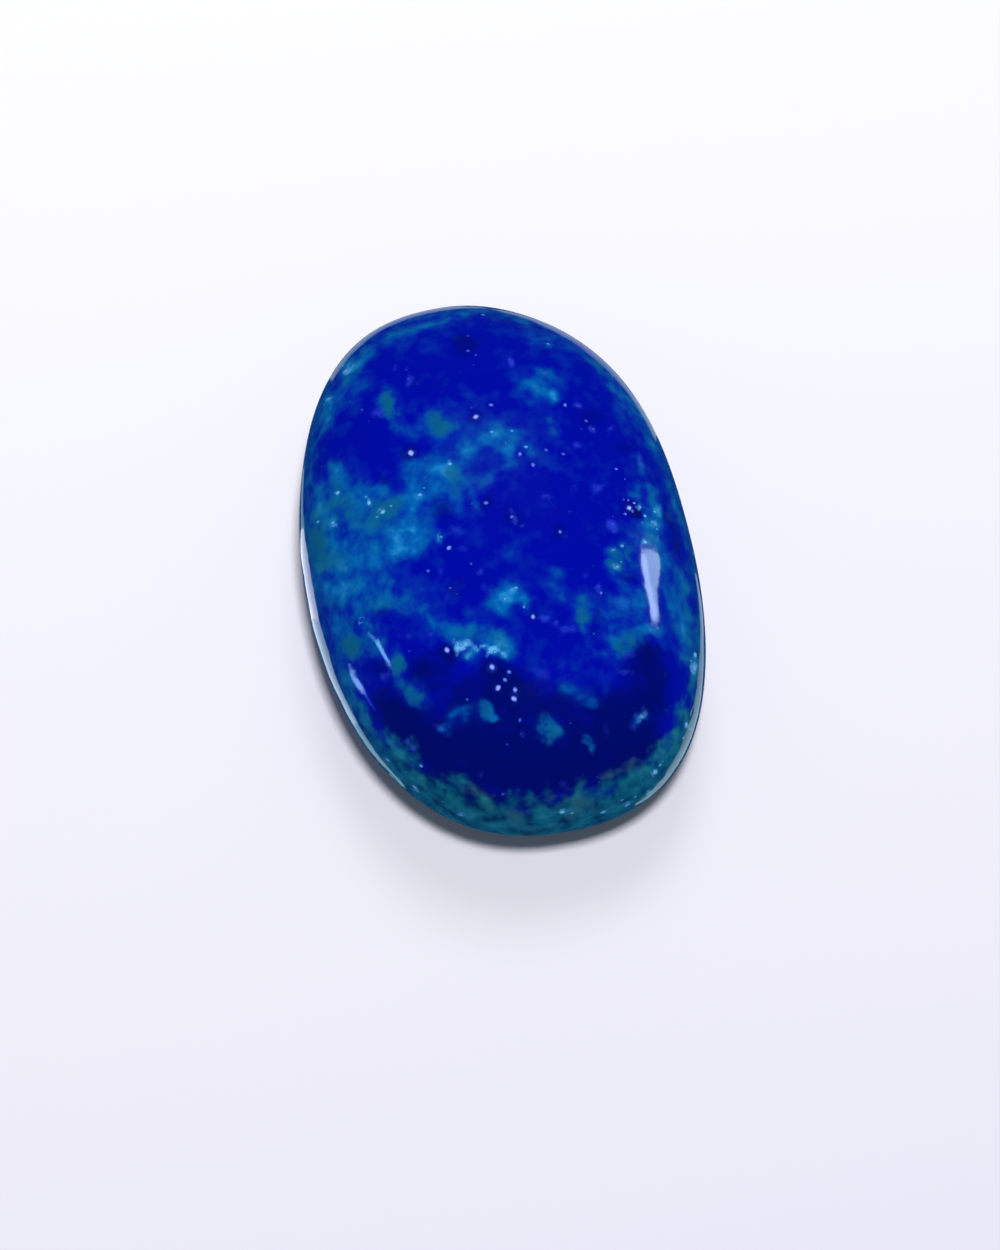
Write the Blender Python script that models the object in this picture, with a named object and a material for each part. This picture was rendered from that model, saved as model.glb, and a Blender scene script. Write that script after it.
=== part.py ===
"""A polished lapis lazuli pebble, modelled at real size in metres with +Z up.

The stone is one piece of rough that was tumbled and polished: an oval seen from above, with a low
dome, steep rounded sides and a shallower belly. It lies on a small flat spot worn under the belly.
The long axis runs along Y, and the origin is the middle of its footprint, on the surface it lies on.
"""

import math

import bmesh
import bpy
from mathutils import Vector, noise

MM = 0.001

# Outline, seen from above
HALF_WIDTH = 9.5 * MM
HALF_LENGTH = 13.8 * MM
OUTLINE_POWER = 2.26  # 2 is an ellipse, more is squarer
TAPER = 0.031  # how much narrower the far end is, as a share of the width
BOW = -0.5 * MM  # both ends drift to one side
LEAN = -0.84 * MM  # the far end drifts one way, the near end the other
THREE_CORNERS = 0.016  # a faint three-cornered roundness, as a share of the radius
THREE_CORNERS_TURN = math.radians(57)

# Profile, seen from the side. Heights are measured from the girdle, the widest line round the stone
DOME_RISE = 6.2 * MM
DOME_POWER = 2.45
BELLY_DROP = 4.05 * MM
BELLY_POWER = 2.45
FLAT_SPOT_DROP = 3.97 * MM  # the belly is worn flat this far under the girdle

# Faces that the tumbling wore a little flat: name, direction in degrees, lift in degrees, depth
WORN_FACES = (
    ("crown", 250, 84, 0.10 * MM),
    ("left shoulder", 196, 38, 0.12 * MM),
    ("right shoulder", 350, 34, 0.12 * MM),
    ("far shoulder", 60, 42, 0.14 * MM),
    ("near shoulder", 285, 40, 0.10 * MM),
)
WORN_EDGE = 0.22 * MM  # how softly a worn face runs out

# Slow swells left in the skin
SWELL_HEIGHT = 0.16 * MM
SWELL_LENGTH = 8.5 * MM

SPHERE_SUBDIVISIONS = 5  # 5,120 triangles

LAPIS_BLUE = (0.004, 0.010, 0.330, 1.0)
POLISH_ROUGHNESS = 0.12


def outline_radius(turn):
    """Distance from the middle to the girdle, in the direction turn."""
    across = abs(math.cos(turn)) / HALF_WIDTH
    along = abs(math.sin(turn)) / HALF_LENGTH
    oval = (across**OUTLINE_POWER + along**OUTLINE_POWER) ** (-1 / OUTLINE_POWER)
    return oval * (1 + THREE_CORNERS * math.cos(3 * (turn - THREE_CORNERS_TURN)))


def pebble_point(direction):
    """The point of the smooth pebble that a unit direction from the middle of its girdle leads to."""
    rise = DOME_RISE if direction.z > 0 else BELLY_DROP
    power = DOME_POWER if direction.z > 0 else BELLY_POWER
    point = Vector((direction.x * HALF_WIDTH, direction.y * HALF_LENGTH, direction.z * rise))
    out = math.hypot(point.x, point.y) / outline_radius(math.atan2(point.y, point.x))
    up = abs(point.z) / rise
    point *= (out**power + up**power) ** (-1 / power)
    along = point.y / HALF_LENGTH
    point.x = point.x * (1 - TAPER * along) + BOW * along**2 + LEAN * along**3
    return point


def wear_face(points, turn_deg, lift_deg, depth):
    """Presses the points softly back behind a plane that lies depth inside the stone's reach."""
    turn = math.radians(turn_deg)
    lift = math.radians(lift_deg)
    outward = Vector((math.cos(turn) * math.cos(lift), math.sin(turn) * math.cos(lift), math.sin(lift)))
    plane = max(point.dot(outward) for point in points) - depth
    for point in points:
        proud = point.dot(outward) - plane
        point -= outward * (proud + math.hypot(proud, WORN_EDGE)) / 2


def swell(point):
    """Lifts or sinks a point by the slow unevenness of a stone that was ground without a mould."""
    unevenness = noise.noise(point / SWELL_LENGTH)
    point += point.normalized() * SWELL_HEIGHT * unevenness


def build_stone():
    """The pebble as one closed body, with its worn flat spot on the plane z = 0."""
    bm = bmesh.new()
    bmesh.ops.create_icosphere(bm, subdivisions=SPHERE_SUBDIVISIONS, radius=1.0)
    points = [pebble_point(vert.co.normalized()) for vert in bm.verts]
    for _, turn_deg, lift_deg, depth in WORN_FACES:
        wear_face(points, turn_deg, lift_deg, depth)
    for vert, point in zip(bm.verts, points):
        swell(point)
        vert.co = point

    cut = bmesh.ops.bisect_plane(
        bm,
        geom=bm.verts[:] + bm.edges[:] + bm.faces[:],
        plane_co=(0, 0, -FLAT_SPOT_DROP),
        plane_no=(0, 0, -1),
        clear_outer=True,
    )
    rim = [part for part in cut["geom_cut"] if isinstance(part, bmesh.types.BMEdge)]
    bmesh.ops.edgeloop_fill(bm, edges=rim)

    middle_x = (min(v.co.x for v in bm.verts) + max(v.co.x for v in bm.verts)) / 2
    middle_y = (min(v.co.y for v in bm.verts) + max(v.co.y for v in bm.verts)) / 2
    bmesh.ops.translate(bm, verts=bm.verts, vec=(-middle_x, -middle_y, FLAT_SPOT_DROP))
    bmesh.ops.recalc_face_normals(bm, faces=bm.faces)

    mesh = bpy.data.meshes.new("stone")
    bm.to_mesh(mesh)
    bm.free()
    mesh.shade_smooth()
    return mesh


def polished_lapis():
    """Deep blue stone with a glassy polish."""
    material = bpy.data.materials.new("polished_lapis")
    material.use_nodes = True
    skin = material.node_tree.nodes["Principled BSDF"]
    skin.inputs["Base Color"].default_value = LAPIS_BLUE
    skin.inputs["Roughness"].default_value = POLISH_ROUGHNESS
    skin.inputs["Metallic"].default_value = 0.0
    return material


for old in list(bpy.data.objects):
    bpy.data.objects.remove(old)

pebble = bpy.data.collections.new("lapis_lazuli")
bpy.context.scene.collection.children.link(pebble)

stone = bpy.data.objects.new("stone", build_stone())
stone.data.materials.append(polished_lapis())
pebble.objects.link(stone)
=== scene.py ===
import math

import bmesh
import bpy
import numpy as np
from mathutils import Matrix, Vector, noise
from mathutils.bvhtree import BVHTree


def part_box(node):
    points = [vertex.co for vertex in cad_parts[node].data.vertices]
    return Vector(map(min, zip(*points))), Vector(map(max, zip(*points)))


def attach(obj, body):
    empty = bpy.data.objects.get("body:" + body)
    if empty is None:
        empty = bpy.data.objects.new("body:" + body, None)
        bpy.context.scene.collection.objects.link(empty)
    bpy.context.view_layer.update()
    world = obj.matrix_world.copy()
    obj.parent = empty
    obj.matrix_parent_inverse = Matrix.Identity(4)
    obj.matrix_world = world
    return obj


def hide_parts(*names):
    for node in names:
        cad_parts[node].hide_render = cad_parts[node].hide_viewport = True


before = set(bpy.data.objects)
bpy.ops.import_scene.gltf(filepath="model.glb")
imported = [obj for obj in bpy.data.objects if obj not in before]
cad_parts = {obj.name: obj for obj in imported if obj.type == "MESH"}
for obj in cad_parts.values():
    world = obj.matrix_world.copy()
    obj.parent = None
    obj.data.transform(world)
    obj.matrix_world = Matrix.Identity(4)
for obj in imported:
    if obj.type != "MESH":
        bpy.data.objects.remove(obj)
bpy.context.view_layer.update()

# The view. The pebble lies on a pale table and is seen from above its near end through a long
# lens. Places read from the photograph are pixels of its 1000 by 1250 frame, and each is cast
# through this camera onto the stone.
MM = 0.001
PHOTO_WIDTH = 1000
PHOTO_HEIGHT = 1250
PIXELS_PER_MM = 20.53  # at the girdle, which fixes the lens
GIRDLE_HEIGHT = 3.97 * MM
GIRDLE_MIDDLE_PIXEL = (498.8, 568.7)
VIEW_TURN = math.radians(-11.3)
VIEW_LIFT = math.radians(68)
VIEW_DISTANCE = 260 * MM

towards_camera = Vector((
    math.sin(VIEW_TURN) * math.cos(VIEW_LIFT),
    -math.cos(VIEW_TURN) * math.cos(VIEW_LIFT),
    math.sin(VIEW_LIFT),
))
view_right = Vector((math.cos(VIEW_TURN), math.sin(VIEW_TURN), 0))
view_up = towards_camera.cross(view_right)
right_of_middle = (PHOTO_WIDTH / 2 - GIRDLE_MIDDLE_PIXEL[0]) / PIXELS_PER_MM * MM
below_middle = (PHOTO_HEIGHT / 2 - GIRDLE_MIDDLE_PIXEL[1]) / PIXELS_PER_MM * MM
aim = Vector((0, 0, GIRDLE_HEIGHT)) + view_right * right_of_middle - view_up * below_middle
eye = aim + towards_camera * VIEW_DISTANCE
focal_pixels = PIXELS_PER_MM * VIEW_DISTANCE / MM

lens = bpy.data.cameras.new("camera")
lens.sensor_width = 36
lens.lens = focal_pixels * lens.sensor_width / PHOTO_HEIGHT
lens.clip_start = 0.01
lens.clip_end = 20
camera = bpy.data.objects.new("camera", lens)
facing = Matrix((view_right, view_up, towards_camera)).transposed()
camera.matrix_world = Matrix.Translation(eye) @ facing.to_4x4()
bpy.context.scene.collection.objects.link(camera)
bpy.context.scene.camera = camera


def sight_line(across, down):
    """The direction in which the camera sees a pixel of the photograph."""
    sideways = view_right * (across - PHOTO_WIDTH / 2)
    upward = view_up * (PHOTO_HEIGHT / 2 - down)
    return (sideways + upward - towards_camera * focal_pixels).normalized()


# The stone's skin. One piece of lapis that was tumbled until its corners were gone and then
# polished: the same oval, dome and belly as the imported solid, in a finer mesh that also holds
# the shallow pits where softer grains were plucked out.
HALF_WIDTH = 9.5 * MM
HALF_LENGTH = 13.8 * MM
OUTLINE_POWER = 2.26
TAPER = 0.031
BOW = -0.5 * MM
LEAN = -0.84 * MM
THREE_CORNERS = 0.016
THREE_CORNERS_TURN = math.radians(57)
DOME_RISE = 6.2 * MM
BELLY_DROP = 4.05 * MM
PROFILE_POWER = 2.45
WORN_FACES = (
    ("crown", 250, 84, 0.10 * MM),
    ("left shoulder", 196, 38, 0.12 * MM),
    ("right shoulder", 350, 34, 0.12 * MM),
    ("far shoulder", 60, 42, 0.14 * MM),
    ("near shoulder", 285, 40, 0.10 * MM),
)
WORN_EDGE = 0.22 * MM
SWELL_HEIGHT = 0.16 * MM
SWELL_LENGTH = 8.5 * MM
FLAT_SPOT_EDGE = 0.02 * MM
CELLS_PER_SIDE = 127
PITS = 60
PIT_RADIUS = (0.16 * MM, 0.42 * MM)
PIT_DEPTH = 0.07  # share of the radius
FLECK_ROOM = 0.04 * MM  # kept free inside the solid's box for flecks that stand proud
STEPS_TO_MIDDLE = 100  # for drawing a pixel that misses the stone in towards its middle
MOST_STEPS = 50


def sphere_directions():
    """A cube cut into even cells and blown up to a ball, so that the cells are of like size."""
    ball = bmesh.new()
    bmesh.ops.create_cube(ball, size=2)
    bmesh.ops.subdivide_edges(ball, edges=ball.edges[:], cuts=CELLS_PER_SIDE, use_grid_fill=True)
    mesh = bpy.data.meshes.new("stone_skin")
    ball.to_mesh(mesh)
    ball.free()
    corners = np.empty(len(mesh.vertices) * 3)
    mesh.vertices.foreach_get("co", corners)
    even = np.tan(corners.reshape(-1, 3) * math.pi / 4)
    return mesh, even / np.linalg.norm(even, axis=1, keepdims=True)


def pebble(directions):
    """The smooth pebble's points in these directions from the middle of its girdle."""
    rise = np.where(directions[:, 2] > 0, DOME_RISE, BELLY_DROP)
    half_sizes = np.stack([np.full_like(rise, HALF_WIDTH), np.full_like(rise, HALF_LENGTH), rise], 1)
    points = directions * half_sizes
    turn = np.arctan2(points[:, 1], points[:, 0])
    across = np.abs(np.cos(turn)) / HALF_WIDTH
    along = np.abs(np.sin(turn)) / HALF_LENGTH
    outline = (across**OUTLINE_POWER + along**OUTLINE_POWER) ** (-1 / OUTLINE_POWER)
    outline *= 1 + THREE_CORNERS * np.cos(3 * (turn - THREE_CORNERS_TURN))
    out = np.hypot(points[:, 0], points[:, 1]) / outline
    up = np.abs(points[:, 2]) / rise
    points *= ((out**PROFILE_POWER + up**PROFILE_POWER) ** (-1 / PROFILE_POWER))[:, None]
    end = points[:, 1] / HALF_LENGTH
    points[:, 0] = points[:, 0] * (1 - TAPER * end) + BOW * end**2 + LEAN * end**3
    return points


def wear_face(points, turn_deg, lift_deg, depth):
    """Presses the points softly back behind a plane that lies depth inside the stone's reach."""
    turn = math.radians(turn_deg)
    lift = math.radians(lift_deg)
    level = math.cos(lift)
    outward = np.array([math.cos(turn) * level, math.sin(turn) * level, math.sin(lift)])
    reach = points @ outward
    proud = reach - reach.max() + depth
    return points - outward * ((proud + np.hypot(proud, WORN_EDGE)) / 2)[:, None]


skin_mesh, skin_directions = sphere_directions()
skin = pebble(skin_directions)
for _, turn_deg, lift_deg, depth in WORN_FACES:
    skin = wear_face(skin, turn_deg, lift_deg, depth)
swell = np.array([noise.noise(Vector(point / SWELL_LENGTH)) for point in skin])
skin += skin / np.linalg.norm(skin, axis=1, keepdims=True) * (SWELL_HEIGHT * swell)[:, None]
skin[:, 2] += GIRDLE_HEIGHT

chance = np.random.default_rng(7)
inward = -skin_directions
for middle in skin[chance.choice(len(skin), PITS, replace=False)]:
    radius = chance.uniform(*PIT_RADIUS)
    near = np.linalg.norm(skin - middle, axis=1) / radius
    dent = np.clip(1 - near**2, 0, 1) ** 2 * radius * PIT_DEPTH
    skin += inward * dent[:, None]

skin[:, 2] = (skin[:, 2] + np.hypot(skin[:, 2], FLAT_SPOT_EDGE)) / 2
solid_low, solid_high = (np.array(corner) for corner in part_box("stone"))
skin_low = solid_low + (FLECK_ROOM, FLECK_ROOM, 0)
skin = (skin - skin.min(0)) / np.ptp(skin, axis=0) * (solid_high - FLECK_ROOM - skin_low) + skin_low
skin_mesh.vertices.foreach_set("co", skin.ravel())
skin_mesh.shade_smooth()
skin_mesh.update()
stone = bpy.data.objects.new("polished_stone", skin_mesh)
bpy.context.scene.collection.objects.link(stone)

cells = [tuple(face.vertices) for face in skin_mesh.polygons]
surface = BVHTree.FromPolygons(skin.tolist(), cells)


def landing(across, down):
    """Where the camera's line through a pixel meets the stone, and the way the stone faces there.
    A pixel just off the stone is drawn in towards its middle until it lands."""
    middle_across, middle_down = GIRDLE_MIDDLE_PIXEL
    for step in range(MOST_STEPS):
        share = step / STEPS_TO_MIDDLE
        sight = sight_line(across + (middle_across - across) * share, down + (middle_down - down) * share)
        place, outward, _, _ = surface.ray_cast(eye, sight)
        if place is not None:
            return place, outward
    raise ValueError(f"no stone near pixel {across}, {down}")


# Colours grown into the stone. Lazurite makes the deep ultramarine, and other minerals drift
# through it as azure clouds, teal and navy pools, and violet, grey and white wisps. Each patch was
# read off as pixels across and down, length, breadth, degrees clockwise, strength.
# Not all of it is mineral: the navy at the near end and along its lower edge is painted shade, and the
# pale web under the middle island and the pale specks on the right rim are painted highlights.
AZURE_PATCHES = {
    "wide veils": (
        (480, 440, 150, 84, 10, 0.30), (430, 490, 110, 80, -20, 0.26), (545, 385, 80, 60, 0, 0.14),
        (385, 600, 140, 60, 0, 0.30), (505, 605, 70, 50, 10, 0.14), (482, 645, 90, 36, 10, 0.26),
        (625, 620, 90, 80, 0, 0.24), (650, 530, 60, 130, 0, 0.25), (578, 672, 90, 26, 8, 0.08),
        (345, 390, 60, 120, 0, 0.20), (640, 420, 60, 110, 0, 0.20), (470, 716, 100, 36, 0, 0.16),
        (560, 738, 100, 34, 0, 0.14), (545, 338, 100, 46, 10, 0.22), (440, 340, 90, 40, -15, 0.12),
        (335, 520, 70, 120, 0, 0.36), (345, 565, 90, 60, 0, 0.36), (342, 610, 60, 70, -20, 0.36),
        (355, 648, 50, 60, 30, 0.34), (366, 690, 40, 60, 50, 0.20), (600, 475, 60, 50, 0, 0.08),
    ),
    "far left rim": (
        (352, 368, 28, 20, -40, 0.7), (333, 398, 34, 16, -45, 0.75), (330, 414, 26, 18, -60, 0.6),
        (347, 370, 14, 10, -35, 0.8), (329, 399, 13, 9, -45, 0.8), (322, 430, 24, 12, -70, 0.3),
        (374, 352, 60, 16, -40, 0.4), (400, 335, 44, 20, -20, 0.4), (428, 322, 44, 16, -8, 0.4),
        (458, 314, 46, 12, 0, 0.45), (360, 385, 30, 14, 10, 0.25), (390, 406, 46, 24, 72, 0.60),
        (437, 423, 38, 34, 60, 0.55), (463, 389, 24, 12, 25, 0.35), (452, 402, 26, 10, 10, 0.2),
        (412, 430, 40, 14, 20, 0.3),
    ),
    "crown cloud": (
        (545, 371, 20, 10, 10, 0.45), (538, 386, 46, 34, 15, 0.45), (553, 394, 20, 9, 70, 0.4),
        (533, 403, 26, 10, 30, 0.4), (517, 393, 16, 11, 0, 0.45), (541, 335, 44, 34, 20, 0.25),
        (548, 344, 10, 9, 0, 0.3), (552, 425, 24, 14, 60, 0.25),
    ),
    "veil above the middle": (
        (500, 420, 44, 22, 5, 0.18), (499, 434, 40, 34, 0, 0.24), (505, 450, 30, 13, 0, 0.40),
        (470, 450, 36, 18, -10, 0.25), (478, 436, 20, 12, 30, 0.24), (517, 433, 16, 14, 60, 0.28),
        (530, 448, 20, 12, 20, 0.28), (502, 466, 34, 14, 10, 0.22), (490, 476, 30, 10, -30, 0.20),
        (557, 444, 18, 12, 10, 0.2), (548, 462, 22, 10, 20, 0.14),
    ),
    "veil left of the middle": (
        (425, 470, 44, 28, -20, 0.4), (408, 464, 16, 20, 0, 0.3), (440, 482, 60, 30, -15, 0.4),
        (455, 484, 40, 24, 80, 0.4), (414, 490, 30, 18, 80, 0.4), (455, 506, 26, 18, 60, 0.3),
        (474, 498, 20, 10, 75, 0.45), (440, 538, 16, 9, 70, 0.55), (452, 532, 26, 12, 0, 0.25),
    ),
    "left pool": (
        (345, 478, 38, 22, 50, 0.5), (335, 465, 16, 16, 0, 0.4), (372, 488, 40, 14, 20, 0.5),
        (362, 505, 80, 40, 0, 0.50), (385, 512, 34, 26, -30, 0.5), (384, 511, 22, 15, -30, 0.7),
        (343, 500, 18, 12, 60, 0.5), (312, 545, 16, 26, 10, 0.5), (318, 492, 34, 18, 80, 0.45),
        (322, 530, 66, 38, 85, 0.6), (380, 535, 96, 46, 0, 0.6), (412, 525, 44, 40, 20, 0.5),
        (400, 550, 70, 30, -10, 0.5), (350, 548, 36, 11, 65, 0.45), (328, 560, 50, 30, 0, 0.5),
        (365, 565, 50, 18, 0, 0.45), (404, 505, 34, 18, 0, 0.4),
    ),
    "below the left pool": (
        (335, 587, 34, 18, -10, 0.35), (372, 590, 70, 30, 0, 0.3), (390, 588, 20, 7, -55, 0.35),
        (358, 612, 24, 10, 60, 0.45), (365, 622, 22, 15, 40, 0.55), (378, 606, 34, 14, 0, 0.3),
        (374, 642, 54, 18, 52, 0.4), (340, 630, 30, 20, 70, 0.35), (352, 648, 44, 20, 0, 0.45),
        (415, 607, 34, 22, 0, 0.3), (427, 612, 50, 6, 57, 0.3), (440, 627, 44, 22, 45, 0.25),
        (398, 668, 40, 16, 80, 0.45), (345, 680, 70, 24, 60, 0.4), (372, 728, 60, 20, 50, 0.3),
        (390, 750, 40, 16, 40, 0.35),
    ),
    "island under the middle": (
        (507, 598, 38, 34, 0, 0.55), (516, 588, 14, 11, 0, 0.4), (504, 599, 12, 8, 0, 0.4),
        (490, 604, 18, 10, 10, 0.4), (500, 612, 22, 8, 38, 0.5), (525, 607, 24, 9, 65, 0.45),
        (509, 553, 26, 20, 20, 0.30), (556, 571, 26, 15, 30, 0.36), (557, 593, 34, 20, 40, 0.34),
        (582, 612, 40, 19, 80, 0.45), (585, 636, 26, 11, 70, 0.3), (467, 613, 20, 9, 25, 0.25),
    ),
    # Partly painted highlight: the small strong patches of the web are the overhead light's broken
    # highlight laid on as pale stone; the wider ones are azure stone.
    "web under the island": (
        (470, 630, 64, 18, 10, 0.45), (478, 638, 54, 20, 5, 0.5), (503, 645, 34, 24, 40, 0.5),
        (513, 655, 20, 12, 60, 0.3), (462, 643, 18, 8, -20, 0.9),
        (475, 650, 12, 8, 30, 0.8), (485, 646, 16, 6, 40, 0.8), (495, 652, 14, 8, 10, 0.9),
        (506, 656, 10, 7, 0, 0.7), (470, 656, 14, 10, 70, 0.5), (452, 641, 16, 8, 30, 0.4),
        (532, 674, 34, 14, 20, 0.2), (577, 666, 16, 12, 30, 0.22), (578, 690, 32, 16, 20, 0.35),
    ),
    "right of the middle": (
        (625, 605, 40, 30, 0, 0.3), (622, 600, 16, 10, 0, 0.3), (640, 603, 30, 14, 85, 0.3),
        (615, 638, 26, 18, 0, 0.45), (628, 643, 44, 34, -10, 0.45), (654, 631, 34, 10, 0, 0.5),
        (662, 645, 20, 9, 70, 0.35), (600, 655, 16, 12, 0, 0.25),
    ),
    "right column": (
        (678, 612, 130, 34, 84, 0.34), (664, 560, 50, 14, 85, 0.20), (644, 489, 28, 10, 15, 0.35),
        (636, 494, 13, 12, 0, 0.35), (653, 503, 34, 14, 70, 0.5),
        (656, 512, 18, 14, 0, 0.45), (649, 524, 22, 14, 0, 0.45), (650, 537, 36, 26, 85, 0.5),
        (658, 538, 26, 12, 80, 0.45), (664, 565, 40, 10, 85, 0.3), (622, 545, 12, 10, 0, 0.4),
        (613, 551, 16, 12, 20, 0.35), (626, 558, 40, 36, 60, 0.4), (616, 568, 24, 14, 20, 0.35),
        (618, 582, 24, 16, 40, 0.25), (664, 585, 24, 8, 80, 0.3), (684, 615, 90, 24, 85, 0.42),
        (672, 604, 26, 10, 60, 0.25),
    ),
    "right rim": (
        (578, 350, 40, 12, 35, 0.3), (598, 368, 40, 12, 45, 0.5), (612, 388, 30, 14, 55, 0.45),
        (625, 405, 34, 28, 10, 0.45), (645, 428, 40, 16, 60, 0.35), (655, 447, 36, 16, 62, 0.4),
        (636, 456, 14, 10, 20, 0.3), (640, 466, 26, 9, 85, 0.3), (664, 472, 50, 14, 72, 0.35),
        (680, 515, 80, 12, 77, 0.35), (689, 560, 80, 14, 82, 0.4),
    ),
    "drops in the dark near end": (
        (415, 696, 42, 28, 70, 0.70), (398, 668, 30, 16, 75, 0.50), (453, 722, 44, 28, -30, 0.52),
        (485, 710, 36, 26, 50, 0.62), (498, 719, 18, 9, 5, 0.40), (550, 730, 42, 30, 60, 0.62),
        (590, 745, 28, 17, 70, 0.60), (641, 720, 36, 20, -62, 0.80), (583, 775, 14, 8, 60, 0.45),
        (560, 772, 60, 9, -20, 0.4), (525, 788, 50, 12, 5, 0.45), (400, 752, 30, 12, 35, 0.4),
        (433, 774, 34, 12, 20, 0.45), (585, 702, 40, 20, 10, 0.50), (562, 690, 24, 20, 20, 0.4),
        (606, 690, 14, 8, 60, 0.3), (608, 728, 10, 22, 10, 0.25), (470, 668, 20, 10, 0, 0.25),
    ),
}
TEAL_PATCHES = {
    "far end": (
        (390, 406, 46, 24, 75, 0.9), (438, 422, 36, 32, 60, 0.9), (435, 430, 18, 12, 0, 0.5),
        (350, 375, 40, 20, -45, 0.5), (500, 425, 40, 20, 0, 0.3), (548, 430, 34, 18, 70, 0.5),
        (595, 362, 50, 14, 40, 0.5), (400, 330, 90, 14, -25, 0.4),
    ),
    "left side": (
        (455, 480, 40, 26, 80, 0.7), (385, 510, 46, 34, -20, 0.9), (343, 505, 44, 34, 60, 0.6),
        (318, 540, 70, 34, 85, 0.9), (332, 560, 50, 30, 0, 0.6), (372, 535, 60, 50, 0, 0.35),
        (352, 648, 50, 22, 0, 0.8), (322, 628, 60, 16, 75, 0.9), (397, 667, 44, 18, 80, 0.5),
        (346, 695, 80, 22, 60, 0.5), (390, 752, 50, 18, 40, 0.6),
        (375, 615, 130, 110, 0, 0.35), (330, 480, 60, 60, 0, 0.30),
    ),
    "middle and right": (
        (582, 615, 40, 20, 80, 0.7), (475, 634, 64, 18, 5, 0.6), (503, 648, 34, 22, 40, 0.4),
        (628, 645, 44, 32, -10, 0.8), (652, 508, 44, 18, 80, 0.4), (650, 537, 36, 24, 85, 0.35),
        (624, 558, 44, 38, 60, 0.8), (688, 600, 110, 16, 86, 0.4), (690, 690, 70, 18, 86, 0.7),
        (664, 470, 80, 10, 72, 0.4),
    ),
    "near end": (
        (416, 696, 40, 26, 70, 0.8), (484, 710, 30, 22, 40, 0.6), (550, 730, 38, 26, 60, 0.7),
        (398, 668, 30, 16, 75, 0.6), (590, 745, 22, 10, 70, 0.6),
    ),
}
NAVY_PATCHES = {
    "far end": (
        (385, 482, 40, 22, 0, 0.35), (465, 345, 40, 40, 0, 0.5), (428, 385, 60, 30, 0, 0.25),
        (590, 417, 50, 30, 0, 0.4), (625, 448, 44, 20, 0, 0.4), (480, 470, 24, 24, 30, 0.35),
        (362, 440, 70, 60, 0, 0.15),
    ),
    "middle": (
        (505, 515, 44, 44, 0, 0.2), (562, 530, 34, 50, 0, 0.2), (514, 518, 24, 20, 0, 0.35),
        (560, 532, 18, 24, 0, 0.25), (487, 503, 16, 18, 0, 0.35), (524, 524, 16, 12, 0, 0.3),
        (443, 515, 46, 34, 65, 0.4),
        (470, 585, 70, 50, 0, 0.25), (340, 607, 26, 22, 0, 0.35), (382, 612, 24, 26, 0, 0.4),
        (364, 527, 30, 15, 80, 0.35), (332, 533, 13, 13, 0, 0.4), (637, 513, 16, 14, 0, 1.0),
        (672, 530, 90, 16, 78, 0.5), (648, 652, 38, 28, 30, 0.6), (629, 576, 22, 20, 0, 0.5),
        (597, 625, 24, 50, 0, 0.3), (514, 608, 10, 8, 0, 0.5),
    ),
    # Painted shade: the near end, which turns away from the lamps, is darkened here with navy.
    "dark near end": (
        (420, 668, 60, 40, 0, 0.55), (375, 668, 36, 22, 0, 0.5), (530, 770, 250, 86, 3, 0.92),
        (395, 715, 80, 60, 40, 0.8), (645, 700, 110, 64, -60, 0.75), (480, 695, 140, 70, 0, 0.6),
        (600, 728, 130, 80, 0, 0.65), (430, 742, 90, 54, 30, 0.8), (503, 685, 50, 60, 20, 0.5),
        (448, 652, 30, 26, 0, 0.5), (480, 735, 150, 60, 0, 0.6), (560, 700, 110, 44, 0, 0.45),
        (638, 662, 50, 40, 0, 0.4), (634, 757, 80, 40, -40, 0.8), (450, 786, 80, 30, 25, 0.7),
        (484, 800, 60, 24, 10, 0.7), (525, 804, 60, 20, 0, 0.6),
    ),
    "near edge": (
        (562, 807, 16, 8, 0, 0.9), (607, 785, 24, 9, -10, 0.8), (427, 783, 22, 7, 0, 0.5),
        # Painted shade: this long patch darkens the lower edge where the stone turns under to the table.
        (530, 833, 120, 12, 0, 0.9),
    ),
}
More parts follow.
